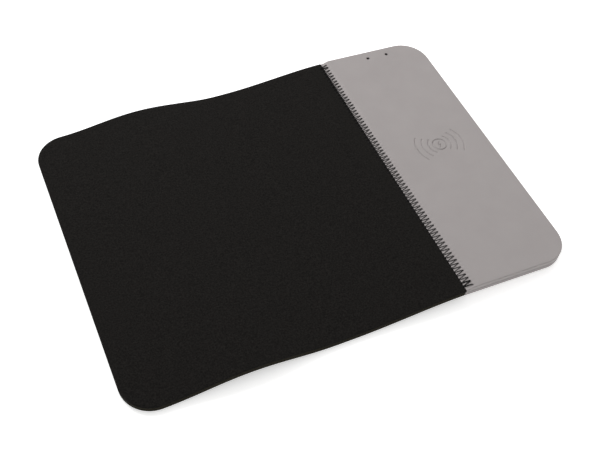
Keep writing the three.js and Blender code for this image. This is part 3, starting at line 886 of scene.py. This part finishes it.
# ---- Seam ----
def seam_height(x, y):
    """Height of the sewn surface across the seam, where x is from the mat's free end."""
    on_mat = mat_rise(np.minimum(x, mat_length + SEAM_GAP), y) + FABRIC_TOP
    along = np.maximum(x - mat_length - SEAM_GAP, 0)
    on_panel = panel_lift - along * math.sin(tilt) + panel_face(along, y) * math.cos(tilt)
    return on_mat + (on_panel - on_mat) * smooth((x - mat_length) / SEAM_STEP)


def stitch_corners():
    """The needle holes in sewing order, as (x from the mat's free end, y, 1 if it's sewn again)."""
    last = 2 * STITCH_COUNT
    tack = 2 * BACK_TACKS - 1
    order = [(k, 1) for k in range(tack, 0, -1)] + [(k, 0) for k in range(last)]
    order += [(k, 1) for k in range(last, last - tack, -1)]
    slip = np.random.default_rng(7).normal(0, STITCH_SLIP, (len(order), 2))
    corners = []
    for (k, again), (across, along) in zip(order, slip):
        y = FIRST_STITCH + k * STITCH_PITCH / 2 + along + again * TACK_SLIP
        reach = stitch_reach(y) - (STITCH_WIDTH if k % 2 else 0)
        corners.append((mat_length + SEAM_GAP + reach + across, y, again))
    return corners


def thread_path():
    """Middle line of the thread: flat over the seam, and down into a hole at each end of a stitch."""
    share = np.concatenate([[0, 0.02, 0.05, 0.1], np.linspace(0.17, 0.83, 17), [0.9, 0.95, 0.98]])
    points = []
    corners = stitch_corners()
    for (x0, y0, again), (x1, y1, _) in zip(corners, corners[1:]):
        x = x0 + (x1 - x0) * share
        y = y0 + (y1 - y0) * share
        bow = smooth(np.minimum(share, 1 - share) / THREAD_BOW)
        lift = (THREAD_DIP + (1 + TACK_HEIGHT * again) * THREAD_RADIUS) * bow - THREAD_DIP
        points.append(np.stack([mat_low.x + x, y, seam_height(x, y) + lift], -1))
    return np.concatenate(points)


def thread_tube(name, path, material):
    """Two plies twisted together along a path, as one tube with two lobes."""
    steps = np.gradient(path, axis=0)
    steps /= np.linalg.norm(steps, axis=1)[:, None]
    sides = [np.cross(steps[0], (0.0, 0.0, 1.0))]
    for step in steps[1:]:
        turned = sides[-1] - step * np.dot(sides[-1], step)
        sides.append(turned / np.linalg.norm(turned))
    sides = np.array(sides)
    ups = np.cross(sides, steps)
    run = np.concatenate([[0], np.cumsum(np.linalg.norm(np.diff(path, axis=0), axis=1))])
    around = np.linspace(0, 2 * math.pi, THREAD_SIDES + 1)[:-1]
    twist = 2 * math.pi * run / PLY_TURN
    lobes = np.cos(2 * (around[None, :] - twist[:, None]))
    radius = THREAD_RADIUS * (1 - PLY_LOBE + PLY_LOBE * lobes)
    sideways = np.cos(around)[None, :, None] * sides[:, None]
    upwards = np.sin(around)[None, :, None] * ups[:, None]
    points = path[:, None] + radius[..., None] * (sideways + upwards)
    numbers = np.arange(len(path) * THREAD_SIDES).reshape(-1, THREAD_SIDES)
    after = np.roll(numbers, -1, axis=1)
    quads = np.stack([numbers[:-1], after[:-1], after[1:], numbers[1:]], -1).reshape(-1, 4)
    faces = [*quads.tolist(), numbers[0][::-1].tolist(), numbers[-1].tolist()]
    piece = make_object(name, points.reshape(-1, 3), faces, material)
    piece.data.shade_smooth()
    return piece


def make_thread(material):
    """The seam's one thread. It only catches the fabric and the top cover."""
    piece = thread_tube("seam_thread", thread_path(), material)
    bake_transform(piece)
    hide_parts("seam_stitch_mat_side", "seam_stitch_panel_side")


# ---- Parts that keep their shapes ----
def finish_nodes(materials):
    """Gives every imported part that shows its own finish."""
    finishes = {
        "panel_lip_foam": "foam",
        "coil_foam_pad": "foam",
        "top_shell": "shell_plastic",
        "bottom_shell": "shell_plastic",
        "port_bezel": "bezel_plastic",
        "charging_coil": "coil_wire",
        "coil_lead": "coil_wire",
        "ferrite_shield": "ferrite",
        "power_inductor": "ferrite",
        "circuit_board": "board",
        "usb_socket_shell": "socket_steel",
        "usb_socket_tongue": "tongue_plastic",
        "controller_chip": "chip_epoxy",
        "driver_chip": "chip_epoxy",
        "resonant_capacitor": "capacitor_ceramic",
        "status_led": "led_resin",
        "light_pipe": "light_pipe",
        "board_screw": "screw_steel",
    }
    for name, node in frame["nodes"].items():
        slot = finishes.get(name.rstrip("_0123456789"))
        if slot:
            node.data.materials.clear()
            node.data.materials.append(materials[slot])


# ---- Floor and light ----
FLOOR_HALF = 4  # metres
FLOOR_DROP = 0.02 * MM
PAPER_GLOW = 0.52
WORLD_STRENGTH = 0.32
LAMPS = [  # name, place and size in metres, power in watts
    ("key", (-0.35, 0.75, 0.83), 0.5, 7.8),  # from behind, at the left: it throws the soft shadow
    ("side", (0.82, 0.38, 0.63), 0.5, 1.5),
    ("overhead", (0.1, 0.1, 1.2), 1.2, 4.2),
]


def white_paper(tree, place):
    """Seamless white paper. It glows a little, so that it stays white all round the object."""
    grain = add(tree, "ShaderNodeTexNoise", {"Vector": place, "Scale": 1 / (3 * MM)})
    tint = {0: grain, 6: linear("#f3f3f2"), 7: linear("#f7f7f6")}
    return {
        "Base Color": add(tree, "ShaderNodeMix", tint, data_type="RGBA").outputs[2],
        "Roughness": 0.9,
        "Specular IOR Level": 0.1,
        "Emission Color": linear("#ffffff"),
        "Emission Strength": PAPER_GLOW,
    }


def make_floor():
    half = FLOOR_HALF
    corners = [(-half, -half), (half, -half), (half, half), (-half, half)]
    points = [(x, y, -FLOOR_DROP) for x, y in corners]
    material = surface("white_paper", white_paper)
    make_object("floor", points, [(0, 1, 2, 3)], material)


def make_lamp(name, place, size, power):
    """A square lamp that faces the middle of the object."""
    data = bpy.data.lights.new(name, "AREA")
    data.shape = "SQUARE"
    data.size = size
    data.energy = power
    lamp = bpy.data.objects.new(name, data)
    lamp.location = place
    lamp.rotation_mode = "QUATERNION"
    lamp.rotation_quaternion = (-Vector(place)).to_track_quat("-Z", "Y")
    bpy.context.scene.collection.objects.link(lamp)


def make_light():
    world = bpy.data.worlds.new("studio")
    world.use_nodes = True
    background = world.node_tree.nodes["Background"]
    background.inputs["Color"].default_value = linear("#ffffff")
    background.inputs["Strength"].default_value = WORLD_STRENGTH
    bpy.context.scene.world = world
    for lamp in LAMPS:
        make_lamp(*lamp)
    settings = bpy.context.scene.view_settings
    settings.view_transform = "Standard"
    settings.look = "None"
    settings.exposure = 0


# ---- The whole object ----
def main():
    make_camera()
    materials = make_materials()
    fabric = make_fabric(materials["knit_fabric"])
    rubber = make_rubber(materials["foam_rubber"])
    cover = make_top_cover(materials["leatherette"])
    lower = make_lower_cover(materials["leatherette"])
    make_thread(materials["thread"])
    finish_nodes(materials)
    make_floor()
    make_light()


main()
